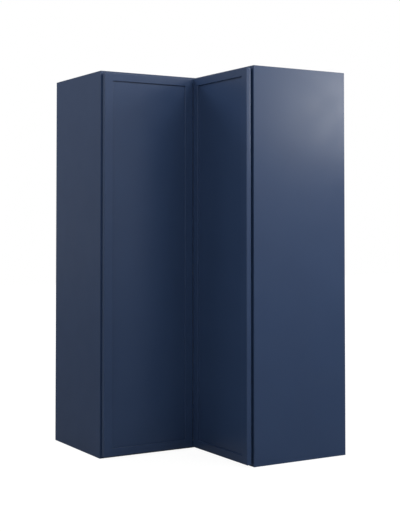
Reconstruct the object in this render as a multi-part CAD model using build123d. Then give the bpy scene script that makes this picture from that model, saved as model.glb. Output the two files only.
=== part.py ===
from build123d import *
import os

# A frameless corner wall cabinet with a pie-cut front, in millimetres. +Z is up.
# The origin is at the cabinet's base, at the concave corner of its L-shaped plan.
# The left wing lies at x < 0 and faces -Y; the right wing lies at y < 0 and faces -X.
# The walls of the room are at the +Y and +X faces.

# ---- Box ----
WALL_RUN = 609.6          # length of the cabinet along each wall
WING_DEPTH = 304.8        # depth of each wing, without doors
HEIGHT = 1066.8
BOARD = 18.0              # end, top, bottom and shelf boards
BACK_BOARD = 12.0
RAIL_BOARD = 12.0         # hanging rails, between the back boards and the wall
RAIL_HEIGHT = 80.0
GROOVE_DEPTH = 6.0        # grooves that hold the back boards
GROOVE_PLAY = 0.1         # on each side of a back board and at its edge
BAND = 1.0                # edge band on the front edges
BAND_EASE = 0.6           # rounding of the edge bands of the end boards

# ---- Doors ----
DOOR_GAP = 3.0            # behind the closed doors
SLAB = 14.0               # door core
FRAME_THICK = 4.0         # strips glued on the core
STILE_WIDE = 25.4         # upright strips of the raised frame
LEAF_RAIL_WIDE = 22.2     # its top and bottom strips
END_REVEAL = 3.0          # box shown past the doors at the ends
EDGE_REVEAL = 6.35        # box shown past the doors at the top and bottom
CORNER_GAP = 0.5          # from the end of each leaf to the line where their faces meet
DOOR_EASE = 2.0           # rounding of the outer edges of each leaf's face
CORNER_EASE = 0.5         # rounding of its edge at the inside corner
BACK_EASE = 2.4           # rounding of the edges of its back
HINGE_SIDE_EASE = 6.0     # deeper rounding of the left leaf's outer edge, at its back
PULL_EASE = 8.0           # finger pull: the same edge of the right leaf, which is its free edge
STRIP_EASE = 0.8          # rounding of the raised frame's inner edges
BUMPER_R = 4.0
BUMPER_CLEAR = 0.2        # between a bumper and the closed box
BUMPER_PAST_END = 8.0     # from the end board's inner face

# ---- Shelves and the 32 mm hole rows ----
HOLE_PITCH = 32.0
SHELF_SETBACK = 12.0
SHELF_PLAY = 1.0
ROW_FRONT = 69.0          # front row of shelf holes, from the front edge
ROW_REAR_INSET = 50.0     # rear row, at least so far from the back board
ROW_BACK_INSET = 80.8     # row in each back board, from the other back board
PIN_HOLE_R = 2.5
PIN_HOLE_FLOOR = 2.0      # board left behind each shelf hole in a back board
PIN_FIT = 0.05
PIN_TONGUE = (8.0, 7.0, 3.0)  # how far it stands out, its width and its thickness
SPARE_HOLES = (-1, 0, 1)      # holes at each shelf, in pitches

# ---- Knock-down fittings ----
CAM_R = 7.4
CAM_PAST_BOLT = 3.6       # from the bolt's axis to the cam's inner end
CAM_PLAY = 0.1
CAM_REACH = 34.0          # from the end board to the cam's centre
CAM_FRONT = 50.0          # front cam, from the front edge
CAM_MIDDLE = 0.4          # middle cam, in front of half the wing's depth
CAM_REAR = 49.8           # rear cam, from the wall side
BOLT_R = 3.0
BOLT_THREAD_R = 2.5
BOLT_THREAD = 11.0
DOWEL_R = 4.0
DOWEL_FROM_CAM = 40.0     # from the front and the rear cam to the dowel beside it
DOWEL_IN_END = 10.0
DOWEL_IN_EDGE = 20.0
RAIL_DOWEL_R = 3.0
RAIL_DOWEL_INSET = 20.0   # from a rail's upper and lower edges
FASTENER_FIT = 0.05
WALL_HOLE_R = 2.5
WALL_HOLE_INSET = 101.6   # from each end of the wall run, so 406.4 apart
CORNER_SCREW_R = 1.75
CORNER_SCREW_LONG = 45.0
CORNER_SCREW_HEAD_R = 3.6

# ---- Hinges ----
HINGE_INSET = 120.0       # outer hinges, from the box's top and bottom, to the nearest pitch
CUP_R = 17.5
CUP_WALL = 1.5
CUP_FLOOR = 1.0
CUP_DEEP = 11.5
MAIN_CUP_INSET = 26.5     # from the left leaf's outer edge to the cup's centre
FOLD_CUP_INSET = 22.5     # from the right leaf's inner edge to the cup's centre
CUP_FLANGE = 1.2
CUP_FLANGE_R = 20.0
CUP_SCREW_SPREAD = 45.0
CUP_SCREW_OFFSET = 9.5
CUP_PIN_INSET = 15.0      # from the leaf's edge to the pin in the cup
CUP_PIN_SUNK = 2.0        # that pin's axis, under the leaf's back
LUG_WIDE = 7.0
LUG_THICK = 3.0
LUG_ABOVE = 2.5           # lug above the pin's axis
LUG_PLAY = 0.5            # between a lug and the hook link
ARM_PIN_STAND = 10.8      # arm pin above the board that carries the hinge
MAIN_ARM_PIN_BACK = 12.0  # main arm pin behind the end board's front edge
FOLD_ARM_PIN_PAST = 13.0  # fold arm pin past the line where the leaf faces meet
PLATE_SCREW_LINE = 25.0   # from the arm pin to the plate's screws
PLATE_LONG = 34.0
PLATE_START = 18.0
PLATE_THICK = 2.5
PLATE_HALF_TALL = 23.0
PLATE_FOOT = 13.0         # width of the plate's wings
SPINE_HALF = 7.0
ARM_HALF = 8.0
ARM_NOSE_HALF = 4.0
ARM_NOSE_R = 4.0
ARM_LONG = 52.0
ARM_NOSE_LONG = 14.0
ARM_ABOVE_PLATE = 3.5
HINGE_PIN_R = 1.5
PIN_RUNNING = 0.05
LINK_PLATE = 1.5          # thickness of each swing link plate
LINK_SIDE_PLAY = 0.2
LINK_EYE_R = 3.2
HOOK_HALF_WIDE = 2.0
HOOK_CUP_EYE_R = 3.0
HOOK_DROP = 4.5           # main hook: first leg, down into the cup
HOOK_ACROSS = 17.8        # main hook: second leg, along the cup's floor
FOLD_BEND = (9.0, 5.5)    # fold hook: its bend, from the cup pin
EURO_SCREW_R = 2.5
EURO_SCREW_LONG = 10.0
EURO_HEAD_R = 3.8
EURO_HEAD = 1.6
CUP_SCREW_R = 1.5
CUP_SCREW_LONG = 9.0
CUP_HEAD_R = 3.0
CUP_HEAD = 1.0
ARM_SCREW_R = 2.0
ARM_SCREW_HEAD_R = 3.2
ARM_SCREW_HEAD = 1.4
ARM_SCREW_PLACE = 40.0    # from the arm pin
CROSS_DEEP = 0.7
CROSS_WIDE = 0.8

# ---- Planes worked out from the sizes above ----
OUT = WING_DEPTH                      # wall side of the box, from the origin
END = WING_DEPTH - WALL_RUN           # outer side of each end board
END_IN = END + BOARD
RAIL_IN = OUT - RAIL_BOARD
BACK_IN = RAIL_IN - BACK_BOARD
MID = HEIGHT / 2
TOP_IN = HEIGHT - BOARD
LEAF_BACK = -DOOR_GAP
CORE_FACE = LEAF_BACK - SLAB
LEAF_FACE = CORE_FACE - FRAME_THICK
LEAF_OUT = END + END_REVEAL
LEAF_IN = LEAF_FACE - CORNER_GAP
LEAF_LOW = EDGE_REVEAL
LEAF_HIGH = HEIGHT - EDGE_REVEAL
FACE_TO_BACK = SLAB + FRAME_THICK
CUP_PIN_FACE = FACE_TO_BACK - CUP_PIN_SUNK
BUMPER_THICK = DOOR_GAP - BUMPER_CLEAR
HINGE_STEP = round((MID - HINGE_INSET) / HOLE_PITCH)
HINGE_HEIGHTS = [MID + step * HOLE_PITCH for step in (-HINGE_STEP, 0, HINGE_STEP)]
ROW_ZERO = MID - HOLE_PITCH / 2       # the hole just under mid height
SHELF_STEP = round((HEIGHT - 2 * BOARD) / 4 / HOLE_PITCH)
SHELF_PIN_HEIGHTS = [ROW_ZERO + step * HOLE_PITCH for step in (-SHELF_STEP - 1, -1, SHELF_STEP - 1)]
ROW_REAR = ROW_FRONT + HOLE_PITCH * round((BACK_IN - ROW_REAR_INSET - ROW_FRONT) / HOLE_PITCH)
ROW_BACK = BACK_IN - ROW_BACK_INSET
PIN_HOLE_DEEP = BACK_BOARD - PIN_HOLE_FLOOR
CAM_TALL = BOARD / 2 + CAM_PAST_BOLT
CAM_DEPTHS = (CAM_FRONT, OUT / 2 - CAM_MIDDLE, OUT - CAM_REAR)
DOWEL_DEPTHS = (CAM_DEPTHS[0] + DOWEL_FROM_CAM, CAM_DEPTHS[2] - DOWEL_FROM_CAM)
WALL_HOLE_PLACES = (END + WALL_HOLE_INSET, OUT - WALL_HOLE_INSET)

# Plan positions of the hinge axes and pins.
MAIN_AXIS = (LEAF_OUT, LEAF_FACE)
FOLD_AXIS = (LEAF_FACE, LEAF_FACE)
MAIN_CUP_PIN = (LEAF_OUT + CUP_PIN_INSET, LEAF_FACE + CUP_PIN_FACE)
MAIN_ARM_PIN = (END_IN + ARM_PIN_STAND, MAIN_ARM_PIN_BACK)
FOLD_CUP_PIN = (LEAF_FACE + CUP_PIN_FACE, LEAF_IN - CUP_PIN_INSET)
FOLD_ARM_PIN = (LEAF_FACE + FOLD_ARM_PIN_PAST, LEAF_BACK + ARM_PIN_STAND)


def block(x0, x1, y0, y1, z0, z1):
    """A box between two opposite corners."""
    size = (abs(x1 - x0), abs(y1 - y0), abs(z1 - z0))
    return Pos((x0 + x1) / 2, (y0 + y1) / 2, (z0 + z1) / 2) * Box(*size)


def rod(radius, start, end):
    """A round bar between two points on a line along X, Y or Z."""
    start, end = Vector(*start), Vector(*end)
    line = Plane(origin=start, z_dir=end - start)
    return extrude(line * Circle(radius), (end - start).length)


def save(name, *shapes):
    """Writes one node; several shapes stay separate solids of it."""
    shape = shapes[0] if len(shapes) == 1 else Compound(children=list(shapes))
    export_step(shape, f"parts/{name}.step")


def l_plan(low, high, notch, z0, z1):
    """An L-shaped slab: the square from low to high without the part below notch."""
    corners = [
        (low, notch),
        (notch, notch),
        (notch, low),
        (high, low),
        (high, high),
        (low, high),
    ]
    return extrude(Pos(0, 0, z0) * make_face(Polyline(*corners, close=True)), z1 - z0)


def l_band(low, front, z0, z1):
    """The edge band along the two front edges of an L-shaped board."""
    inner = front + BAND
    corners = [
        (low, front),
        (front, front),
        (front, low),
        (inner, low),
        (inner, inner),
        (low, inner),
    ]
    return extrude(Pos(0, 0, z0) * make_face(Polyline(*corners, close=True)), z1 - z0)


def swap(shape):
    """The same shape on the other wing: mirrored in the plane x = y."""
    return mirror(shape, about=Plane(origin=(0, 0, 0), z_dir=(1, -1, 0)))


# ---- Fasteners that repeat ----
def cross_recess(radius):
    """A cross slot to cut in a screw head whose top is at z = 0."""
    arm = block(-radius, radius, -CROSS_WIDE / 2, CROSS_WIDE / 2, -CROSS_DEEP, CROSS_DEEP)
    return arm + Rot(0, 0, 90) * arm


def screw(shank_r, shank_long, head_r, head_tall):
    """A pan-head screw whose head sits on z = 0 and whose shank goes down."""
    head = rod(head_r, (0, 0, 0), (0, 0, head_tall))
    head = fillet(head.edges().sort_by(Axis.Z)[-1], head_tall * 0.45)
    head -= Pos(0, 0, head_tall) * cross_recess(head_r * 0.6)
    return head + rod(shank_r, (0, 0, -shank_long), (0, 0, 0))


def towards(direction):
    """Turns a shape that points up so that it points along a row axis."""
    return Plane(origin=(0, 0, 0), z_dir=direction).location


def joint_sites():
    """The bottom's and the top's bolt height, outer face and inward direction."""
    return [(BOARD / 2, 0.0, 1), (HEIGHT - BOARD / 2, HEIGHT, -1)]


def cam_bolt(depth, height):
    """A bolt screwed in the left end board, whose neck ends in the cam."""
    thread = rod(BOLT_THREAD_R, (END_IN - BOLT_THREAD, depth, height), (END_IN, depth, height))
    neck_end = END_IN + CAM_REACH - BOLT_R
    return thread + rod(BOLT_R, (END_IN, depth, height), (neck_end, depth, height))


def cam_disc(depth, height, face, inward):
    """A cam in the outer face of the top or bottom, slotted for its bolt."""
    centre = END_IN + CAM_REACH
    disc = rod(CAM_R, (centre, depth, face), (centre, depth, face + inward * CAM_TALL))
    room = BOLT_R + CAM_PLAY + 0.1
    disc -= rod(room, (centre - 2 * CAM_R, depth, height), (centre, depth, height))
    if inward > 0:
        slots = Pos(centre, depth, face) * Rot(180, 0, 0) * cross_recess(CAM_R * 0.6)
    else:
        slots = Pos(centre, depth, face) * cross_recess(CAM_R * 0.6)
    return disc - slots


def cam_room(depth, height, face, inward):
    """The pocket and bolt hole that a cam and its bolt need in a board."""
    centre = END_IN + CAM_REACH
    deep = CAM_TALL + 2 * CAM_PLAY
    pocket = rod(CAM_R + CAM_PLAY, (centre, depth, face), (centre, depth, face + inward * deep))
    hole = rod(BOLT_R + CAM_PLAY, (END_IN, depth, height), (centre, depth, height))
    return [pocket, hole]


def dowel(radius, depth, height, grow=0.0):
    """A dowel across the left end board's inner face; grow turns it into its hole."""
    start = END_IN - DOWEL_IN_END - grow
    end = END_IN + DOWEL_IN_EDGE + grow
    return rod(radius - FASTENER_FIT + min(grow, FASTENER_FIT), (start, depth, height), (end, depth, height))


def rail_heights():
    """Lower and upper edge of the lower and the upper hanging rail."""
    return [(BOARD, BOARD + RAIL_HEIGHT), (TOP_IN - RAIL_HEIGHT, TOP_IN)]


def rail_dowel_sites():
    """Heights of the dowels at a rail's end."""
    sites = []
    for low, high in rail_heights():
        sites += [low + RAIL_DOWEL_INSET, high - RAIL_DOWEL_INSET]
    return sites


def wing_dowels(grow=0.0):
    """All dowels, or their holes, along the left end board."""
    found = []
    for height, _, _ in joint_sites():
        found += [dowel(DOWEL_R, depth, height, grow) for depth in DOWEL_DEPTHS]
    rail_mid = OUT - RAIL_BOARD / 2
    found += [dowel(RAIL_DOWEL_R, rail_mid, height, grow) for height in rail_dowel_sites()]
    return found


def wing_cam_rooms():
    """Pockets and holes for every cam and bolt along the left end board."""
    rooms = []
    for height, face, inward in joint_sites():
        for depth in CAM_DEPTHS:
            rooms += cam_room(depth, height, face, inward)
    return rooms


# ---- Wall screws and shelf holes ----
def wall_holes():
    """The four wall-screw holes in the rear rails and back board."""
    holes = []
    for low, high in rail_heights():
        for x in WALL_HOLE_PLACES:
            z = (low + high) / 2
            holes.append(rod(WALL_HOLE_R, (x, BACK_IN - 1, z), (x, OUT + 1, z)))
    return holes


def shelf_hole_heights():
    """Heights of the shelf holes in every row."""
    return [z + step * HOLE_PITCH for z in SHELF_PIN_HEIGHTS for step in SPARE_HOLES]


def end_shelf_holes():
    """Shelf holes in the left end board."""
    holes = []
    for z in shelf_hole_heights():
        for depth in (ROW_FRONT, ROW_REAR):
            holes.append(rod(PIN_HOLE_R, (END_IN - PIN_HOLE_DEEP, depth, z), (END_IN, depth, z)))
    return holes


def back_shelf_holes():
    """Shelf holes in the rear back board."""
    holes = []
    for z in shelf_hole_heights():
        holes.append(rod(PIN_HOLE_R, (ROW_BACK, BACK_IN, z), (ROW_BACK, BACK_IN + PIN_HOLE_DEEP, z)))
    return holes


def shelf_pin():
    """A peg along +Z with a tongue below z = 0 that the shelf lies on, top towards +Y."""
    peg = rod(PIN_HOLE_R - PIN_FIT, (0, 0, 0), (0, 0, PIN_HOLE_DEEP - 0.5))
    out, wide, thick = PIN_TONGUE
    tongue = block(-wide / 2, wide / 2, PIN_HOLE_R - thick, PIN_HOLE_R, -out, 0)
    return peg + tongue


def shelf_pins():
    """The six pins of each shelf, all in one list."""
    upright = shelf_pin()
    pins = []
    for z in SHELF_PIN_HEIGHTS:
        for depth in (ROW_FRONT, ROW_REAR):
            place = Plane(origin=(END_IN, depth, z), x_dir=(0, 1, 0), z_dir=(-1, 0, 0))
            pin = place.location * upright
            pins += [pin, swap(pin)]
        place = Plane(origin=(ROW_BACK, BACK_IN, z), x_dir=(-1, 0, 0), z_dir=(0, 1, 0))
        pin = place.location * upright
        pins += [pin, swap(pin)]
    return pins


# ---- Boards ----
def end_board():
    """The left end board: grooved for the back and drilled."""
    board = block(END, END_IN, BAND, OUT, 0, HEIGHT)
    groove = block(
        END_IN - GROOVE_DEPTH, END_IN, BACK_IN - GROOVE_PLAY, RAIL_IN + GROOVE_PLAY,
        BOARD - GROOVE_DEPTH, TOP_IN + GROOVE_DEPTH,
    )
    holes = wing_dowels(grow=1.0) + end_shelf_holes()
    for height, _, _ in joint_sites():
        for depth in CAM_DEPTHS:
            start = (END_IN - BOLT_THREAD - 0.5, depth, height)
            holes.append(rod(BOLT_THREAD_R + FASTENER_FIT, start, (END_IN, depth, height)))
    return board - ([groove] + holes)


def end_band():
    """The edge band of the left end board, scraped round at its two long front edges."""
    band = block(END, END_IN, 0, BAND, 0, HEIGHT)
    return fillet(band.edges().filter_by(Axis.Z).group_by(Axis.Y)[0], BAND_EASE)


def deck(z0, z1, groove_z0, groove_z1):
    """The top or bottom board: an L with grooves for both backs and joint holes."""
    board = l_plan(END_IN, OUT, 0, z0, z1)
    board -= l_band(END_IN, 0, z0, z1)
    far = RAIL_IN + GROOVE_PLAY
    near = BACK_IN - GROOVE_PLAY
    groove = block(END_IN, far, near, far, groove_z0, groove_z1)
    cutters = [groove, swap(groove)]
    for cut in wing_cam_rooms() + wing_dowels(grow=1.0):
        box = cut.bounding_box()
        if box.min.Z < z1 and box.max.Z > z0:
            cutters += [cut, swap(cut)]
    return board - cutters


def rear_back():
    """The rear back board; it butts against the side back board."""
    tongue = GROOVE_DEPTH - GROOVE_PLAY
    board = block(END_IN - tongue, BACK_IN, BACK_IN, RAIL_IN, BOARD - tongue, TOP_IN + tongue)
    return board - (wall_holes() + back_shelf_holes())


def side_back():
    """The side back board; it runs on to the rear rails."""
    tongue = GROOVE_DEPTH - GROOVE_PLAY
    board = block(END_IN - tongue, RAIL_IN, BACK_IN, RAIL_IN, BOARD - tongue, TOP_IN + tongue)
    return swap(board - (wall_holes() + back_shelf_holes()))


def corner_screw_sites():
    """Heights of the screws that join a rear rail to a side rail."""
    return rail_dowel_sites()


def corner_screw(z, grow=0.0):
    """A screw through the rear rail into the side rail's end, or its hole."""
    x = OUT - RAIL_BOARD / 2
    shank = rod(CORNER_SCREW_R + grow, (x, OUT - CORNER_SCREW_LONG - grow, z), (x, OUT, z))
    head_tall = CORNER_SCREW_HEAD_R - CORNER_SCREW_R
    flare = Plane(origin=(x, OUT, z), z_dir=(0, -1, 0)).location
    head = flare * Pos(0, 0, head_tall / 2) * Cone(
        CORNER_SCREW_HEAD_R + grow, CORNER_SCREW_R + grow, head_tall
    )
    return shank + head


def rear_rail(low, high):
    """A hanging rail on the rear wall, from the left end board to the side wall."""
    rail = block(END_IN, OUT, RAIL_IN, OUT, low, high)
    cutters = wall_holes() + wing_dowels(grow=1.0)
    cutters += [corner_screw(z, FASTENER_FIT) for z in corner_screw_sites()]
    return rail - cutters


def side_rail(low, high):
    """A hanging rail on the side wall, from the right end board to the rear rail."""
    rail = block(END_IN, RAIL_IN, RAIL_IN, OUT, low, high)
    rail = swap(rail - (wall_holes() + wing_dowels(grow=1.0)))
    return rail - [corner_screw(z, FASTENER_FIT) for z in corner_screw_sites()]


def shelf(pin_height):
    """An adjustable L-shaped shelf and its edge band."""
    z0 = pin_height + PIN_HOLE_R
    low = END_IN + SHELF_PLAY
    band = l_band(low, SHELF_SETBACK, z0, z0 + BOARD)
    board = l_plan(low, BACK_IN - SHELF_PLAY, SHELF_SETBACK, z0, z0 + BOARD) - band
    return board, band


# ---- Hinge cups, in a frame whose origin is the turning axis at the leaf's face ----
# A seat is the distance from the axis to the leaf's edge, and from there to the cup's centre.
def cup_centre(seat):
    """Distance of the cup's centre from the axis, along the leaf."""
    return sum(seat)


def cup(seat, z):
    """A steel hinge cup with a flange on the leaf's back and two lugs for its pin."""
    u = cup_centre(seat)
    back = FACE_TO_BACK
    outer = rod(CUP_R - FASTENER_FIT, (u, back - CUP_DEEP, z), (u, back + CUP_FLANGE, z))
    flange = rod(CUP_FLANGE_R, (u, back, z), (u, back + CUP_FLANGE, z))
    ear = CUP_SCREW_SPREAD / 2 + 2 * CUP_HEAD_R
    ears = block(u, u + CUP_SCREW_OFFSET + 1.6 * CUP_HEAD_R, back, back + CUP_FLANGE, z - ear, z + ear)
    ears = fillet(ears.edges().filter_by(Axis.Y), CUP_HEAD_R)
    shell = outer + flange + ears
    shell -= rod(CUP_R - CUP_WALL, (u, back - CUP_DEEP + CUP_FLOOR, z), (u, back + CUP_FLANGE + 1, z))
    pin_u = seat[0] + CUP_PIN_INSET
    inner = ARM_NOSE_HALF + LUG_PLAY
    for side in (-1, 1):
        shell += block(
            pin_u - LUG_WIDE / 2, pin_u + LUG_WIDE / 2,
            back - CUP_DEEP + CUP_FLOOR / 2, CUP_PIN_FACE + LUG_ABOVE,
            z + side * inner, z + side * (inner + LUG_THICK),
        )
    reach = inner + LUG_THICK
    low, high = (pin_u, CUP_PIN_FACE, z - reach), (pin_u, CUP_PIN_FACE, z + reach)
    shell -= rod(HINGE_PIN_R + PIN_RUNNING, low, high)
    for x, y in cup_screw_sites(seat, z):
        shell -= rod(CUP_SCREW_R + FASTENER_FIT, (x, back - 1, y), (x, back + CUP_FLANGE + 1, y))
    return shell


def cup_screw_sites(seat, z):
    """Places of a cup's two screws, along the leaf and in height."""
    half = CUP_SCREW_SPREAD / 2
    return [(cup_centre(seat) + CUP_SCREW_OFFSET, z + side * half) for side in (-1, 1)]


def cup_screws(seat, z):
    """The two screws of a cup."""
    fixed = screw(CUP_SCREW_R, CUP_SCREW_LONG, CUP_HEAD_R, CUP_HEAD)
    under = FACE_TO_BACK + CUP_FLANGE
    return [Pos(x, under, y) * towards((0, 1, 0)) * fixed for x, y in cup_screw_sites(seat, z)]


def cup_room(seat, z):
    """What a cup and its screws need cut in the leaf's core."""
    u = cup_centre(seat)
    back = FACE_TO_BACK
    cuts = [rod(CUP_R, (u, back - CUP_DEEP - 0.1, z), (u, back + 1, z))]
    for x, y in cup_screw_sites(seat, z):
        deep = CUP_SCREW_LONG - CUP_FLANGE + 0.5
        cuts.append(rod(CUP_SCREW_R + FASTENER_FIT, (x, back - deep, y), (x, back + 1, y)))
    return cuts


def cup_pin(seat, z):
    """The pin across a cup's lugs."""
    half = ARM_NOSE_HALF + LUG_PLAY + LUG_THICK
    u = seat[0] + CUP_PIN_INSET
    return rod(HINGE_PIN_R, (u, CUP_PIN_FACE, z - half), (u, CUP_PIN_FACE, z + half))


# ---- Plates and arms, in a frame whose X is off the board and whose Y leads away from the pin ----
def plate(z):
    """A mounting plate: a base with two wings and a spine that the arm sits on."""
    end = PLATE_START + PLATE_LONG
    base = block(0, PLATE_THICK, PLATE_START, end, z - SPINE_HALF, z + SPINE_HALF)
    line = PLATE_SCREW_LINE
    wings = block(
        0, PLATE_THICK, line - PLATE_FOOT / 2, line + PLATE_FOOT / 2,
        z - PLATE_HALF_TALL, z + PLATE_HALF_TALL,
    )
    wings = fillet(wings.edges().filter_by(Axis.X), PLATE_FOOT / 3)
    spine = block(
        PLATE_THICK, PLATE_THICK + ARM_ABOVE_PLATE, PLATE_START, end,
        z - SPINE_HALF + 1.5, z + SPINE_HALF - 1.5,
    )
    body = base + wings + spine
    body -= rod(ARM_SCREW_R + FASTENER_FIT, (0.5, ARM_SCREW_PLACE, z), (20, ARM_SCREW_PLACE, z))
    for height in plate_screw_heights(z):
        body -= rod(EURO_SCREW_R + FASTENER_FIT, (-1, line, height), (PLATE_THICK + 1, line, height))
    return body


def plate_screw_heights(z):
    """Heights of a plate's two screws, a pitch apart."""
    return [z - HOLE_PITCH / 2, z + HOLE_PITCH / 2]


def plate_screws(z):
    """The two screws of a mounting plate."""
    fixed = screw(EURO_SCREW_R, EURO_SCREW_LONG + PLATE_THICK, EURO_HEAD_R, EURO_HEAD)
    return [
        Pos(PLATE_THICK, PLATE_SCREW_LINE, height) * towards((1, 0, 0)) * fixed
        for height in plate_screw_heights(z)
    ]


def plate_room(z):
    """The screw holes that a mounting plate needs in its board."""
    line = PLATE_SCREW_LINE
    deep = EURO_SCREW_LONG + 0.5
    return [
        rod(EURO_SCREW_R + FASTENER_FIT, (-deep, line, height), (1, line, height))
        for height in plate_screw_heights(z)
    ]


def arm(z):
    """The hinge arm: a narrow nose around the pin and a wider body on the plate."""
    foot = PLATE_THICK + ARM_ABOVE_PLATE
    top = ARM_PIN_STAND + ARM_NOSE_R
    nose = rod(ARM_NOSE_R, (ARM_PIN_STAND, 0, z - ARM_NOSE_HALF), (ARM_PIN_STAND, 0, z + ARM_NOSE_HALF))
    neck = block(
        ARM_PIN_STAND - ARM_NOSE_R, top, 0, ARM_NOSE_LONG + 1, z - ARM_NOSE_HALF, z + ARM_NOSE_HALF
    )
    body = block(foot, top, ARM_NOSE_LONG, ARM_LONG, z - ARM_HALF, z + ARM_HALF)
    body = fillet(body.edges().filter_by(Axis.Y).group_by(Axis.X)[-1], 2.0)
    whole = nose + neck + body
    reach = ARM_NOSE_HALF + 1
    whole -= rod(HINGE_PIN_R + PIN_RUNNING, (ARM_PIN_STAND, 0, z - reach), (ARM_PIN_STAND, 0, z + reach))
    whole -= rod(ARM_SCREW_R + FASTENER_FIT, (0, ARM_SCREW_PLACE, z), (top + 1, ARM_SCREW_PLACE, z))
    sunk = ARM_SCREW_HEAD + 0.6
    whole -= rod(ARM_SCREW_HEAD_R + 0.3, (top - sunk, ARM_SCREW_PLACE, z), (top + 1, ARM_SCREW_PLACE, z))
    return whole


def arm_screw(z):
    """The screw that holds an arm on its plate."""
    seat = ARM_PIN_STAND + ARM_NOSE_R - ARM_SCREW_HEAD - 0.6
    fixed = screw(ARM_SCREW_R, seat - 1.0, ARM_SCREW_HEAD_R, ARM_SCREW_HEAD)
    return Pos(seat, ARM_SCREW_PLACE, z) * towards((1, 0, 0)) * fixed


# ---- Links, at their plan positions in the row frame ----
def strap(points, half_wide, z0, z1):
    """A flat strap of even width along a run of plan points, with round ends and bends."""
    shape = None
    for start, end in zip(points, points[1:]):
        run = Vector(end[0] - start[0], end[1] - start[1])
        angle = Vector(1, 0).get_signed_angle(run, Vector(0, 0, 1))
        long_part = Box(run.length, 2 * half_wide, z1 - z0)
        middle = Pos((start[0] + end[0]) / 2, (start[1] + end[1]) / 2, (z0 + z1) / 2)
        piece = middle * Rot(0, 0, angle) * long_part
        piece += rod(half_wide, (*start, z0), (*start, z1))
        piece += rod(half_wide, (*end, z0), (*end, z1))
        shape = piece if shape is None else shape + piece
    return shape


def pin_hole(point, z0, z1):
    """A running hole for a hinge pin."""
    return rod(HINGE_PIN_R + PIN_RUNNING, (*point, z0 - 1), (*point, z1 + 1))


def swing_links(arm_pin, elbow, z):
    """The two plates that swing on the arm pin, one above and one below the arm's nose."""
    plates = []
    inner = ARM_NOSE_HALF + LINK_SIDE_PLAY
    for side in (-1, 1):
        z0, z1 = sorted((z + side * inner, z + side * (inner + LINK_PLATE)))
        bar = strap([arm_pin, elbow], LINK_EYE_R, z0, z1)
        plates.append(bar - [pin_hole(arm_pin, z0, z1), pin_hole(elbow, z0, z1)])
    return plates


def hook_link(points, z):
    """The link from the elbow to the cup, with an eye at each end."""
    z0, z1 = z - ARM_NOSE_HALF, z + ARM_NOSE_HALF
    bar = strap(points, HOOK_HALF_WIDE, z0, z1)
    bar += rod(LINK_EYE_R, (*points[-1], z0), (*points[-1], z1))
    bar += rod(HOOK_CUP_EYE_R, (*points[0], z0), (*points[0], z1))
    return bar - [pin_hole(points[0], z0, z1), pin_hole(points[-1], z0, z1)]


def link_pin(point, z):
    """A pin through both swing plates and what lies between them."""
    half = ARM_NOSE_HALF + LINK_SIDE_PLAY + LINK_PLATE + 0.4
    return rod(HINGE_PIN_R, (*point, z - half), (*point, z + half))


def elbow_of(axis, cup_pin_at, arm_pin_at):
    """The elbow pin: the links, the leaf and the arm make a parallelogram in plan."""
    return (arm_pin_at[0] + cup_pin_at[0] - axis[0], arm_pin_at[1] + cup_pin_at[1] - axis[1])


MAIN_ELBOW = elbow_of(MAIN_AXIS, MAIN_CUP_PIN, MAIN_ARM_PIN)
FOLD_ELBOW = elbow_of(FOLD_AXIS, FOLD_CUP_PIN, FOLD_ARM_PIN)
MAIN_HOOK = [
    MAIN_CUP_PIN,
    (MAIN_CUP_PIN[0], MAIN_CUP_PIN[1] - HOOK_DROP),
    (MAIN_CUP_PIN[0] + HOOK_ACROSS, MAIN_CUP_PIN[1] - HOOK_DROP),
    MAIN_ELBOW,
]
FOLD_HOOK = [
    FOLD_CUP_PIN,
    (FOLD_CUP_PIN[0] + FOLD_BEND[0], FOLD_CUP_PIN[1] + FOLD_BEND[1]),
    FOLD_ELBOW,
]

# Each cup's seat: from the turning axis to the leaf's edge, and from that edge to its centre.
MAIN_SEAT = (0, MAIN_CUP_INSET)
FOLD_SEAT = (CORNER_GAP, FOLD_CUP_INSET)

# Places of the hinge frames: the cups' at the turning axes, the plates' on their boards.
MAIN_LEAF_FRAME = Pos(*MAIN_AXIS, 0)
FOLD_LEAF_FRAME = Pos(*FOLD_AXIS, 0) * Rot(0, 0, -90)
MAIN_PLATE_FRAME = Pos(END_IN, MAIN_ARM_PIN_BACK, 0)
FOLD_PLATE_FRAME = Pos(FOLD_ARM_PIN[0], LEAF_BACK, 0) * Rot(0, 0, 90)


# ---- Door leaves ----
def leaf_core(outer_ease):
    """A core board, placed as the left leaf's and not yet drilled, with its back edges rounded."""
    core = block(LEAF_OUT, LEAF_IN, CORE_FACE, LEAF_BACK, LEAF_LOW, LEAF_HIGH)
    outer = core.edges().group_by(Axis.Y)[-1].filter_by(Axis.Z).sort_by(Axis.X)[0]
    core = fillet(outer, outer_ease)
    others = core.faces().sort_by(Axis.Y)[-1].edges().sort_by(Axis.X)[1:]
    return fillet(others, BACK_EASE)


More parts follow.
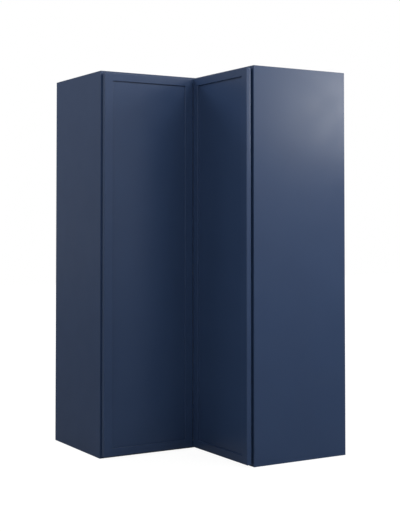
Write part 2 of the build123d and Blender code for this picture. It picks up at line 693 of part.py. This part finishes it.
def leaf_frame():
    """The left leaf's raised frame as one ring, rounded inside and out at its face."""
    outside = block(LEAF_OUT, LEAF_IN, LEAF_FACE, CORE_FACE, LEAF_LOW, LEAF_HIGH)
    at_corner = outside.edges().filter_by(Axis.Z).group_by(Axis.Y)[0].sort_by(Axis.X)[-1]
    others = [edge for edge in outside.edges().group_by(Axis.Y)[0] if edge != at_corner]
    outside = fillet(others, DOOR_EASE)
    at_corner = outside.edges().filter_by(Axis.Z).group_by(Axis.Y)[0].sort_by(Axis.X)[-1]
    outside = fillet(at_corner, CORNER_EASE)
    opening = block(
        LEAF_OUT + STILE_WIDE, LEAF_IN - STILE_WIDE, LEAF_FACE, CORE_FACE,
        LEAF_LOW + LEAF_RAIL_WIDE, LEAF_HIGH - LEAF_RAIL_WIDE,
    )
    ring = outside - opening
    inner = ring.faces().sort_by(Axis.Y)[0].inner_wires()[0].edges()
    return fillet(inner, STRIP_EASE)


def leaf_strips():
    """Outer stile, inner stile, top rail and bottom rail, cut from the ring."""
    left = LEAF_OUT + STILE_WIDE
    right = LEAF_IN - STILE_WIDE
    depth = (LEAF_FACE, CORE_FACE)
    ring = leaf_frame()
    outer = ring & block(LEAF_OUT, left, *depth, LEAF_LOW, LEAF_HIGH)
    inner = ring & block(right, LEAF_IN, *depth, LEAF_LOW, LEAF_HIGH)
    top = ring & block(left, right, *depth, LEAF_HIGH - LEAF_RAIL_WIDE, LEAF_HIGH)
    bottom = ring & block(left, right, *depth, LEAF_LOW, LEAF_LOW + LEAF_RAIL_WIDE)
    return outer, inner, top, bottom


def bumper(z):
    """A clear door bumper on the right leaf's back, over the edge of the top or bottom board."""
    y = END_IN + BUMPER_PAST_END
    disc = rod(BUMPER_R, (LEAF_BACK, y, z), (LEAF_BACK + BUMPER_THICK, y, z))
    return fillet(disc.edges().sort_by(Axis.X)[-1], 0.8)


def build_carcass():
    """Writes the boards, rails, bands, shelves and fittings of the box."""
    drilled = MAIN_PLATE_FRAME * Compound(children=[hole for z in HINGE_HEIGHTS for hole in plate_room(z)])
    left_end = end_board()
    save("end_panel_left", left_end - drilled.solids())
    save("end_panel_right", swap(left_end))
    band = end_band()
    save("end_edge_band_left", band)
    save("end_edge_band_right", swap(band))
    save("bottom_panel", deck(0, BOARD, BOARD - GROOVE_DEPTH, BOARD))
    save("bottom_edge_band", l_band(END_IN, 0, 0, BOARD))
    save("top_panel", deck(TOP_IN, HEIGHT, TOP_IN, TOP_IN + GROOVE_DEPTH))
    save("top_edge_band", l_band(END_IN, 0, TOP_IN, HEIGHT))
    save("back_panel_rear", rear_back())
    save("back_panel_side", side_back())
    for name, (low, high) in zip(("lower", "upper"), rail_heights()):
        save(f"hanging_rail_rear_{name}", rear_rail(low, high))
        save(f"hanging_rail_side_{name}", side_rail(low, high))
    for name, pin_height in zip(("lower", "middle", "upper"), SHELF_PIN_HEIGHTS):
        board, band = shelf(pin_height)
        save(f"shelf_{name}", board)
        save(f"shelf_edge_band_{name}", band)
    save("shelf_pins", *shelf_pins())
    bolts = []
    cams = []
    for height, face, inward in joint_sites():
        for depth in CAM_DEPTHS:
            bolts.append(cam_bolt(depth, height))
            cams.append(cam_disc(depth, height, face, inward))
    save("cam_bolts", *bolts, *[swap(bolt) for bolt in bolts])
    save("cam_discs", *cams, *[swap(cam) for cam in cams])
    dowels = wing_dowels()
    save("dowels", *dowels, *[swap(pin) for pin in dowels])
    save("rail_corner_screws", *[corner_screw(z) for z in corner_screw_sites()])


def build_leaves():
    """Writes the two door leaves and the bumpers."""
    left = leaf_core(HINGE_SIDE_EASE)
    right = swap(leaf_core(PULL_EASE))
    for z in HINGE_HEIGHTS:
        left -= [MAIN_LEAF_FRAME * cut for cut in cup_room(MAIN_SEAT, z)]
        left -= [FOLD_PLATE_FRAME * cut for cut in plate_room(z)]
        right -= [FOLD_LEAF_FRAME * cut for cut in cup_room(FOLD_SEAT, z)]
    save("left_leaf_core", left)
    save("right_leaf_core", right)
    for name, strip in zip(("outer_stile", "inner_stile", "top_rail", "bottom_rail"), leaf_strips()):
        save(f"left_leaf_{name}", strip)
        save(f"right_leaf_{name}", swap(strip))
    low = (LEAF_LOW + BACK_EASE + BOARD) / 2
    save("door_bumpers", *[bumper(z) for z in (low, HEIGHT - low)])


def build_hinges(name, seat, leaf_frame, plate_frame, arm_pin, hook_points):
    """Writes one set of three hinges, each piece a node that holds its three copies."""
    elbow = hook_points[-1]
    heights = HINGE_HEIGHTS
    save(f"{name}_hinge_cups", *[leaf_frame * cup(seat, z) for z in heights])
    save(f"{name}_hinge_cup_pins", *[leaf_frame * cup_pin(seat, z) for z in heights])
    save(f"{name}_hinge_cup_screws", *[leaf_frame * part for z in heights for part in cup_screws(seat, z)])
    save(f"{name}_hinge_plates", *[plate_frame * plate(z) for z in heights])
    save(f"{name}_hinge_plate_screws", *[plate_frame * part for z in heights for part in plate_screws(z)])
    save(f"{name}_hinge_arms", *[plate_frame * arm(z) for z in heights])
    save(f"{name}_hinge_arm_screws", *[plate_frame * arm_screw(z) for z in heights])
    save(f"{name}_hinge_arm_pins", *[link_pin(arm_pin, z) for z in heights])
    save(f"{name}_hinge_swing_links", *[part for z in heights for part in swing_links(arm_pin, elbow, z)])
    save(f"{name}_hinge_elbow_pins", *[link_pin(elbow, z) for z in heights])
    save(f"{name}_hinge_hook_links", *[hook_link(hook_points, z) for z in heights])


os.makedirs("parts", exist_ok=True)
build_carcass()
build_leaves()
build_hinges("main", MAIN_SEAT, MAIN_LEAF_FRAME, MAIN_PLATE_FRAME, MAIN_ARM_PIN, MAIN_HOOK)
build_hinges("fold", FOLD_SEAT, FOLD_LEAF_FRAME, FOLD_PLATE_FRAME, FOLD_ARM_PIN, FOLD_HOOK)
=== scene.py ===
import math

import bpy
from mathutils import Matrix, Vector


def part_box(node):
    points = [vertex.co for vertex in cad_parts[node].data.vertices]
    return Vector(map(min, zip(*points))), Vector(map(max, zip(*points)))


# A corner wall cabinet in navy lacquer with a folding door pair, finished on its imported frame.
# Metres, +Z up, the left wing faces -Y, the right wing faces -X, the walls are at +Y and +X.
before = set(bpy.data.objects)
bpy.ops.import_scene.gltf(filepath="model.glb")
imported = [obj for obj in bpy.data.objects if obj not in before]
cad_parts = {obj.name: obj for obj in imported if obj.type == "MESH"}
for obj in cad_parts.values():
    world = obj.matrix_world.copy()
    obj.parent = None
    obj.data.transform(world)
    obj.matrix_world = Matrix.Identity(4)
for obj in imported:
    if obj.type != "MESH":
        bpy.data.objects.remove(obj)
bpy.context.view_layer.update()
bpy.ops.object.select_all(action="DESELECT")


# ---- End boards ----
# Each end board is 18 mm hardwood plywood, sprayed navy on its outer side and faced with clear
# maple inside. The veneers are pressed in one panel, then the board is cut, grooved and drilled,
# so the raw plies show on every cut edge.
NAVY = "#2d3f5e"
NAVY_DEEP = "#293a58"
MAPLE = "#d8bf98"
MAPLE_LINE = "#c6a67a"
MAPLE_PORE = "#a98357"
PLY_LIGHT = "#d9c4a1"
PLY_DARK = "#a5875f"
PLY = 0.0015
VENEER = 0.0006
LACQUER_IOR = 1.38
FINE_RELIEF = 0.00002    # how deep the spray's and the grain's relief is on a coated board

X, Y, Z = range(3)
# A Mix node's sockets, by number because their names repeat.
FACTOR, FROM_VALUE, TO_VALUE, FROM_COLOUR, TO_COLOUR = 0, 2, 3, 6, 7
MIXED_VALUE, MIXED_COLOUR = 0, 2


def linear(hex_colour):
    """An sRGB hex colour as the linear RGBA that a shader takes."""
    channels = [int(hex_colour[i:i + 2], 16) / 255 for i in (1, 3, 5)]
    return [c / 12.92 if c <= 0.04045 else ((c + 0.055) / 1.055) ** 2.4 for c in channels] + [1.0]


def add(tree, kind, inputs, **settings):
    """Adds a node; each of its inputs is given an output that feeds it, or a plain value."""
    node = tree.nodes.new("ShaderNode" + kind)
    for name, value in settings.items():
        setattr(node, name, value)
    for socket, value in inputs.items():
        if isinstance(value, bpy.types.NodeSocket):
            tree.links.new(value, node.inputs[socket])
        else:
            node.inputs[socket].default_value = value
    return node


def start_finish(name):
    """An empty material, its node tree and the object coordinates that patterns read."""
    material = bpy.data.materials.new(name)
    material.use_nodes = True
    tree = material.node_tree
    tree.nodes.clear()
    return material, tree, add(tree, "TexCoord", {}).outputs["Object"]


def pattern(tree, place, cells, **noise):
    """Soft noise, from 0 to 1, with so many cells to the metre along X, Y and Z."""
    drawn = add(tree, "Mapping", {"Vector": place, "Scale": cells}).outputs["Vector"]
    return add(tree, "TexNoise", {"Vector": drawn, "Scale": 1.0, **noise}).outputs["Fac"]


def even(cells):
    """The same number of cells along every axis."""
    return (cells, cells, cells)


def along(grain, across, lengthwise):
    """Few cells along the grain's axis, and more across it."""
    return [lengthwise if axis == grain else across for axis in (X, Y, Z)]


def toned(tree, noise, dark, light, low=0.0, high=1.0):
    """Two tones of one material: dark where a pattern is low, and light where it is high."""
    share = add(tree, "MapRange", {"Value": noise, "From Min": low, "From Max": high})
    tones = {FROM_COLOUR: linear(dark), TO_COLOUR: linear(light)}
    mixed = add(tree, "Mix", {FACTOR: share.outputs["Result"], **tones}, data_type="RGBA")
    return mixed.outputs[MIXED_COLOUR]


def skin(tree, colour, polish, smooth, rough, relief):
    """A colour, a roughness and a relief; the roughness follows the soft pattern polish."""
    # Most of a soft pattern lies between 0.3 and 0.7.
    spread = {"From Min": 0.3, "From Max": 0.7, "To Min": smooth, "To Max": rough}
    return colour, add(tree, "MapRange", {"Value": polish, **spread}).outputs["Result"], relief


def choose(tree, factor, first, second):
    """The first skin where the factor is 0, and the second where it is 1."""
    ends = {FROM_COLOUR: first[0], TO_COLOUR: second[0]}
    mixed = add(tree, "Mix", {FACTOR: factor, **ends}, data_type="RGBA")
    chosen = [mixed.outputs[MIXED_COLOUR]]
    for one, other in zip(first[1:], second[1:]):
        ends = {FROM_VALUE: one, TO_VALUE: other}
        mixed = add(tree, "Mix", {FACTOR: factor, **ends}, data_type="FLOAT")
        chosen.append(mixed.outputs[MIXED_VALUE])
    return chosen


def coat(tree, finish, depth, ior=1.5, metallic=0.0):
    """The surface itself, from a skin and the depth of its relief in metres."""
    colour, roughness, relief = finish
    bump = add(tree, "Bump", {"Strength": 1.0, "Distance": depth, "Height": relief})
    patterns = {"Base Color": colour, "Roughness": roughness, "Normal": bump.outputs["Normal"]}
    shader = add(tree, "BsdfPrincipled", {"IOR": ior, "Metallic": metallic, **patterns})
    add(tree, "OutputMaterial", {"Surface": shader.outputs["BSDF"]})
    return shader


def lacquer(tree, place):
    """Sprayed satin lacquer: faint clouds of tone, and the soft relief that a spray gun leaves."""
    tone = toned(tree, pattern(tree, place, even(9.0), Detail=3.0), NAVY_DEEP, NAVY)
    polish = pattern(tree, place, even(20.0), Detail=0.0)
    # Real orange peel is 1 to 2 mm across; it is drawn 6 mm across, so that it shows.
    peel = pattern(tree, place, even(160.0), Detail=0.0)
    return skin(tree, tone, polish, 0.28, 0.32, peel)


def maple(tree, place, grain):
    """Clear coated maple veneer, pale and satin, with its grain along one axis."""
    # The broad figure is 70 mm wide, and growth lines lie 12 mm apart. Real pores are 0.1 mm
    # wide; they are drawn 1 mm wide and 25 mm long, so that they show.
    figure = pattern(
        tree, place, along(grain, 14.0, 0.9), Detail=3.0, Roughness=0.55, Distortion=0.6
    )
    growth = pattern(
        tree, place, along(grain, 85.0, 2.2), Detail=4.0, Roughness=0.6, Distortion=0.3
    )
    pores = pattern(tree, place, along(grain, 900.0, 40.0))
    pore = add(tree, "MapRange", {"Value": pores, "From Min": 0.52, "From Max": 0.72}).outputs[0]
    lines = {FACTOR: 0.4, FROM_VALUE: figure, TO_VALUE: growth}
    mixed = add(tree, "Mix", lines, data_type="FLOAT").outputs[MIXED_VALUE]
    wood = toned(tree, mixed, MAPLE_LINE, MAPLE, 0.36, 0.64)
    fleck = add(tree, "Math", {0: pore, 1: 0.25}, operation="MULTIPLY").outputs[0]
    ends = {FROM_COLOUR: wood, TO_COLOUR: linear(MAPLE_PORE)}
    flecked = add(tree, "Mix", {FACTOR: fleck, **ends}, data_type="RGBA").outputs[MIXED_COLOUR]
    hollow = add(tree, "Math", {0: pore, 1: -1.0}, operation="MULTIPLY").outputs[0]
    return skin(tree, flecked, growth, 0.5, 0.62, hollow)


def plies(tree, place, through):
    """Cut plywood: plies light and dark in turn, stacked through the board, with a sawn fuzz."""
    depth = add(tree, "SeparateXYZ", {"Vector": place}).outputs[through]
    turns = add(tree, "Math", {0: depth, 1: math.pi / PLY}, operation="MULTIPLY").outputs[0]
    wave = add(tree, "Math", {0: turns}, operation="SINE").outputs[0]
    ply = add(tree, "MapRange", {"Value": wave, "From Min": -0.35, "From Max": 0.35}).outputs[0]
    fuzz = pattern(tree, place, even(420.0), Detail=3.0)
    dulling = {"From Min": 0.3, "From Max": 0.7, "To Min": 0.7, "To Max": 1.0}
    dulled = add(tree, "MapRange", {"Value": fuzz, **dulling}).outputs["Result"]
    shade = add(tree, "Math", {0: ply, 1: dulled}, operation="MULTIPLY").outputs[0]
    return skin(tree, toned(tree, shade, PLY_DARK, PLY_LIGHT), fuzz, 0.6, 0.8, shade)


def cut_edge(tree, place, node_name, through):
    """1 on a board's cut edges and 0 on its two faces."""
    low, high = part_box(node_name)
    middle = (low[through] + high[through]) / 2
    core = (high[through] - low[through]) / 2 - VENEER
    depth = add(tree, "SeparateXYZ", {"Vector": place}).outputs[through]
    return add(tree, "Math", {0: depth, 1: middle, 2: core}, operation="COMPARE").outputs[0]


def wear(node_name, material):
    """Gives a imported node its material."""
    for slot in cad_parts[node_name].material_slots:
        slot.material = material


def end_board(name, node_name, through):
    """Navy outside, maple inside and plies between; the outside is the lower side of its axis."""
    low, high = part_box(node_name)
    material, tree, place = start_finish(name)
    depth = add(tree, "SeparateXYZ", {"Vector": place}).outputs[through]
    middle = (low[through] + high[through]) / 2
    inside = add(tree, "Math", {0: depth, 1: middle}, operation="GREATER_THAN").outputs[0]
    faces = choose(tree, inside, lacquer(tree, place), maple(tree, place, Z))
    edge = cut_edge(tree, place, node_name, through)
    finish = choose(tree, edge, faces, plies(tree, place, through))
    coat(tree, finish, FINE_RELIEF, LACQUER_IOR)
    return material


wear("end_panel_left", end_board("lacquered_maple_plywood_left", "end_panel_left", X))
wear("end_panel_right", end_board("lacquered_maple_plywood_right", "end_panel_right", Y))


# ---- Front edge bands ----
# Navy ABS band, 1 mm thick, is glued with hot melt on the front edges of the end, top and bottom
# boards and trimmed flush. It is moulded in the doors' colour, a little duller than the spray.
def navy_band():
    """Extruded ABS in the doors' navy, smooth and a little dull."""
    material, tree, place = start_finish("navy_abs_edge_band")
    tone = toned(tree, pattern(tree, place, even(14.0)), NAVY_DEEP, NAVY)
    polish = pattern(tree, place, even(60.0), Detail=3.0)
    # The extruder's fine grain, about 0.5 mm across, is drawn 2 mm across.
    grain = pattern(tree, place, even(500.0), Detail=1.0)
    coat(tree, skin(tree, tone, polish, 0.42, 0.5, grain), depth=0.00001, ior=LACQUER_IOR)
    return material


edge_band = navy_band()
for name in ("end_edge_band_left", "end_edge_band_right", "bottom_edge_band", "top_edge_band"):
    wear(name, edge_band)


# ---- Top, bottom and shelves ----
# Five L-shaped decks are cut from the same maple-faced plywood, with the grain running along the
# rear wall. The top and bottom are bored for cams and dowels; the shelves lie loose on their pins.
COATED_MAPLE_IOR = 1.42


def maple_board(name, node_name, grain, through):
    """Plywood with a clear coated maple face on both sides and plies on its cut edges."""
    material, tree, place = start_finish(name)
    edge = cut_edge(tree, place, node_name, through)
    finish = choose(tree, edge, maple(tree, place, grain), plies(tree, place, through))
    coat(tree, finish, FINE_RELIEF, COATED_MAPLE_IOR)
    return material


for name in ("bottom_panel", "top_panel", "shelf_lower", "shelf_middle", "shelf_upper"):
    wear(name, maple_board("maple_plywood_" + name, name, X, Z))


# ---- Shelf edge bands ----
# A strip of real maple veneer, 1 mm thick, is ironed on each shelf's front edge and sanded. Its
# grain follows the strip, along X on the left wing and along Y on the right one.
def veneer_band():
    """Clear coated maple, its grain along the shelf's edge."""
    material, tree, place = start_finish("maple_veneer_edge_band")
    parts = add(tree, "SeparateXYZ", {"Vector": place}).outputs
    right_wing = add(tree, "Math", {0: parts["X"], 1: parts["Y"]}, operation="GREATER_THAN")
    strips = maple(tree, place, X), maple(tree, place, Y)
    coat(tree, choose(tree, right_wing.outputs[0], *strips), FINE_RELIEF)
    return material


shelf_band = veneer_band()
for name in ("shelf_edge_band_lower", "shelf_edge_band_middle", "shelf_edge_band_upper"):
    wear(name, shelf_band)


# ---- Back boards ----
# Two 12 mm plywood backs slide into grooves in the ends, top and bottom. They are faced with the
# same clear coated maple on both sides, so that they stay flat, and their grain runs upright.
wear("back_panel_rear", maple_board("maple_back_rear", "back_panel_rear", Z, Y))
wear("back_panel_side", maple_board("maple_back_side", "back_panel_side", Z, X))


# ---- Hanging rails ----
# Four rails of raw 12 mm birch plywood run behind the backs and take the wall screws. They are
# sawn and left unsealed, so they look dry, with a slight fuzz along the grain.
BIRCH = "#d6bd94"
BIRCH_LINE = "#c2a375"


def hanging_rail(name, node_name, grain, through):
    """Raw birch faces, with lines 17 mm apart along the rail, and plies on the cut edges."""
    material, tree, place = start_finish(name)
    lines = pattern(
        tree, place, along(grain, 60.0, 1.6), Detail=4.0, Roughness=0.6, Distortion=0.5
    )
    wood = toned(tree, lines, BIRCH_LINE, BIRCH, 0.35, 0.65)
    faces = skin(tree, wood, lines, 0.62, 0.75, lines)
    edge = cut_edge(tree, place, node_name, through)
    coat(tree, choose(tree, edge, faces, plies(tree, place, through)), depth=0.00006)
    return material


for height in ("lower", "upper"):
    rear, side = "hanging_rail_rear_" + height, "hanging_rail_side_" + height
    wear(rear, hanging_rail("birch_" + rear, rear, X, Y))
    wear(side, hanging_rail("birch_" + side, side, Y, X))


# ---- Dowels ----
# Beech dowels are turned, end-sealed with glue in their holes and out of sight once built. They
# lie level, so their grain is long in both level directions and 1 mm wide upright.
BEECH = "#cfa878"
BEECH_LINE = "#b58a5c"


def beech_dowel():
    """Turned beech, dry and a little rough."""
    material, tree, place = start_finish("beech_dowel_wood")
    grain = pattern(tree, place, (30.0, 30.0, 900.0), Detail=3.0, Roughness=0.6)
    wood = toned(tree, grain, BEECH_LINE, BEECH, 0.35, 0.65)
    coat(tree, skin(tree, wood, grain, 0.55, 0.7, grain), depth=0.00005)
    return material


wear("dowels", beech_dowel())


# ---- Cam fittings and screws ----
# Cam discs are die-cast zinc, barrel tumbled, so they are dull grey with a grainy skin. Bolts and
# screws are machined steel with a bright zinc plate.
def cast_zinc():
    """Dull grey metal with grit 0.7 mm across."""
    material, tree, place = start_finish("die_cast_zinc")
    tone = toned(tree, pattern(tree, place, even(220.0), Detail=3.0), "#8f9192", "#aaacad")
    grit = pattern(tree, place, even(1500.0))
    coat(tree, skin(tree, tone, grit, 0.42, 0.58, grit), depth=0.00004, metallic=1.0)
    return material


def plated(name, dark, light, smooth, rough):
    """Plated steel: draw marks 0.25 mm apart, and small changes of polish."""
    material, tree, place = start_finish(name)
    tone = toned(tree, pattern(tree, place, even(130.0), Detail=3.0), dark, light)
    marks = pattern(tree, place, (700.0, 700.0, 4000.0))
    coat(tree, skin(tree, tone, marks, smooth, rough, marks), depth=0.00001, metallic=1.0)
    return material


wear("cam_discs", cast_zinc())
zinc_plate = plated("zinc_plated_steel", "#a9abb0", "#c9cbd0", 0.3, 0.42)
for name in ("cam_bolts", "rail_corner_screws"):
    wear(name, zinc_plate)


# ---- Shelf pins ----
# Each pin is one stamped steel spoon pushed into a 5 mm hole, nickel plated and lightly polished.
# Nickel is warmer and a little shinier than the screws' zinc.
nickel = plated("nickel_plated_steel", "#b5b1aa", "#cfccc6", 0.2, 0.32)
wear("shelf_pins", nickel)


# ---- Door leaves ----
# Each leaf is a 14 mm MDF core with four 4 mm MDF strips glued on as a slim raised frame, and its
# outer edge is rounded at the back; the right one's is what the fingers pull. The leaf is sanded,
# primed and sprayed as one piece, so the same navy covers core and strips.
def sprayed_leaf():
    """Satin navy lacquer all over."""
    material, tree, place = start_finish("navy_satin_lacquer_on_mdf")
    coat(tree, lacquer(tree, place), FINE_RELIEF, LACQUER_IOR)
    return material


door_navy = sprayed_leaf()
for side in ("left", "right"):
    for part in ("core", "outer_stile", "inner_stile", "top_rail", "bottom_rail"):
        wear(f"{side}_leaf_{part}", door_navy)


# ---- Door bumpers ----
# Self-adhesive domes of clear soft polyurethane, cast in drops, sit on the right leaf's back and
# stop it on the front edges of the bottom and top boards.
def clear_polyurethane():
    """Clear and glossy, with a faint haze."""
    material, tree, place = start_finish("clear_polyurethane")
    haze = pattern(tree, place, even(300.0))
    tone = toned(tree, haze, "#d9dddd", "#e6e9e9")
    shader = coat(tree, skin(tree, tone, haze, 0.08, 0.16, haze), depth=0.00001, ior=1.49)
    shader.inputs["Transmission Weight"].default_value = 1.0
    return material


wear("door_bumpers", clear_polyurethane())


# ---- Hinges ----
# Six wide-angle concealed hinges of pressed steel, nickel plated: cups and arms are drawn from
# sheet, links are thicker stampings, and pins are riveted over. The links carry grease, so they
# are a little darker than the rest.
greased = plated("greased_steel", "#8f8c88", "#aeaba6", 0.22, 0.34)
for hinge in ("main", "fold"):
    for part in ("cups", "plates", "arms"):
        wear(f"{hinge}_hinge_{part}", nickel)
    for part in ("cup_screws", "plate_screws", "arm_screws"):
        wear(f"{hinge}_hinge_{part}", zinc_plate)
    for part in ("cup_pins", "arm_pins", "elbow_pins", "swing_links", "hook_links"):
        wear(f"{hinge}_hinge_{part}", greased)


# ---- Floor and backdrop ----
# A pale seamless paper floor and a white backdrop. The camera sees white paper with the object's
# own shadow kept on it; mirror rays see it in the half shade that lies under a wall cabinet.
PAPER_WHITE = 1.1
PAPER_IN_GLOSS = 0.15
LIT_PAPER = 0.14                      # its share of what the camera sees, near the cabinet
SHADOW_NEAR, SHADOW_FAR = 1.2, 2.6    # and it fades between these distances from the middle
WALL_SIDE_IN_GLOSS = 0.28
WHITE = (1.0, 1.0, 1.0, 1.0)


def paper_floor():
    """White to the camera with a trace of the lit paper, so that the shadow stays on it."""
    material, tree, place = start_finish("white_paper")
    tooth = pattern(tree, place, even(300.0))
    paper = add(tree, "BsdfDiffuse", {"Color": toned(tree, tooth, "#d9d9d7", "#dededc")})
    ray = add(tree, "LightPath", {}).outputs
    bent = {0: ray["Is Glossy Ray"], 1: ray["Is Transmission Ray"]}
    mirrored = add(tree, "Math", bent, operation="MAXIMUM").outputs[0]
    far = add(tree, "VectorMath", {0: place}, operation="LENGTH").outputs["Value"]
    fading = {"From Min": SHADOW_NEAR, "From Max": SHADOW_FAR, "To Min": 1.0 - LIT_PAPER}
    plain = add(tree, "MapRange", {"Value": far, **fading}).outputs["Result"]
    seen = add(tree, "Math", {0: ray["Is Camera Ray"], 1: plain}, operation="MULTIPLY").outputs[0]
    share = add(tree, "Math", {0: seen, 1: mirrored}, operation="MAXIMUM").outputs[0]
    glow = {FACTOR: mirrored, FROM_VALUE: PAPER_WHITE, TO_VALUE: PAPER_IN_GLOSS}
    strength = add(tree, "Mix", glow, data_type="FLOAT").outputs[MIXED_VALUE]
    white = add(tree, "Emission", {"Color": WHITE, "Strength": strength})
    mixed = add(tree, "MixShader", {0: share, 1: paper.outputs[0], 2: white.outputs[0]})
    add(tree, "OutputMaterial", {"Surface": mixed.outputs[0]})
    return material


bpy.ops.mesh.primitive_plane_add(size=16.0, location=(0.0, 0.0, -0.0006))
floor = bpy.context.object
floor.name = "paper_floor"
floor.data.materials.append(paper_floor())


def white_backdrop():
    """White to the camera and through glass; mirror rays see it grey on the wall side."""
    world = bpy.data.worlds.new("studio")
    world.use_nodes = True
    sky = world.node_tree
    sky.nodes.clear()
    ray = add(sky, "LightPath", {}).outputs
    towards = add(sky, "TexCoord", {}).outputs["Generated"]
    wallward = add(sky, "SeparateXYZ", {"Vector": towards}).outputs["Y"]
    shading = {"From Min": -0.15, "From Max": 0.15, "To Min": 1.0, "To Max": WALL_SIDE_IN_GLOSS}
    shade = add(sky, "MapRange", {"Value": wallward, **shading}).outputs["Result"]
    glossy = add(sky, "Math", {0: ray["Is Glossy Ray"], 1: shade}, operation="MULTIPLY").outputs[0]
    straight = {0: ray["Is Camera Ray"], 1: ray["Is Transmission Ray"]}
    seen = add(sky, "Math", straight, operation="MAXIMUM").outputs[0]
    strength = add(sky, "Math", {0: seen, 1: glossy}, operation="MAXIMUM").outputs[0]
    background = add(sky, "Background", {"Color": WHITE, "Strength": strength})
    add(sky, "OutputWorld", {"Surface": background.outputs[0]})
    return world


bpy.context.scene.world = white_backdrop()


# ---- Lamps ----
# Soft boxes on stands: three on the right, whose reflection lies on the right end board's upper
# corner, two overhead in front, three on the left, and one behind for the wall side. The two at
# the back draw no bright line along the doors' top edges, as flags would keep them from doing.
def soft_box(name, place, target, width, watts, in_gloss=True):
    """A square lamp at a place, facing a target, that the camera doesn't see."""
    light = bpy.data.lights.new(name, "AREA")
    light.shape = "SQUARE"
    light.size = width
    light.energy = watts
    lamp = bpy.data.objects.new(name, light)
    bpy.context.scene.collection.objects.link(lamp)
    lamp.location = place
    run = [t - p for p, t in zip(place, target)]
    level = math.hypot(run[0], run[1])
    turn = math.atan2(run[1], run[0]) - math.pi / 2
    lamp.rotation_euler = (math.atan2(level, -run[2]), 0.0, turn)
    lamp.visible_camera = False
    lamp.visible_glossy = in_gloss


soft_box("right_key", (1.04, -1.24, 1.22), (0.3, -0.3, 1.0), 0.5, 3.5)
soft_box("right_low", (1.0, -1.1, 1.08), (0.35, -0.3, 0.95), 0.3, 1.8)
soft_box("right_side", (2.2, -1.2, 1.9), (0.3, -0.3, 0.9), 0.8, 27.8)
soft_box("overhead_right", (0.6, -1.8, 2.2), (0.1, -0.2, 0.8), 0.8, 20.7)
soft_box("overhead_left", (-1.0, -1.8, 2.0), (-0.1, 0.0, 0.8), 0.8, 16.8)
soft_box("left_side", (-1.9, -0.5, 1.6), (-0.3, 0.1, 0.7), 0.8, 7.3)
soft_box("left_rear", (-1.6, 0.9, 1.6), (-0.3, 0.1, 0.7), 0.8, 7.0)
soft_box("left_back", (-0.8, 1.6, 2.2), (-0.3, 0.1, 0.8), 0.6, 24.8, in_gloss=False)
soft_box("behind", (1.9, 2.0, 1.9), (0.2, 0.2, 0.6), 1.4, 45.0, in_gloss=False)


# ---- Camera ----
# The camera stands 0.64 m above the cabinet's base and 3.2 m from its middle. It is turned 30.8
# degrees from the rear wall's normal and tilted up 1.7, as the photograph's outline gives it.
TURN = 0.53778
TILT = 0.02979

camera = bpy.data.cameras.new("camera")
camera.lens = 74.04
camera.sensor_width = 36.0
camera.shift_y = -0.1405
view = bpy.data.objects.new("camera", camera)
bpy.context.scene.collection.objects.link(view)
view.location = (-1.61388, -2.73095, 0.64289)
view.rotation_euler = (math.pi / 2 + TILT, 0.0, -TURN)
bpy.context.scene.camera = view
bpy.context.scene.view_settings.view_transform = "Standard"
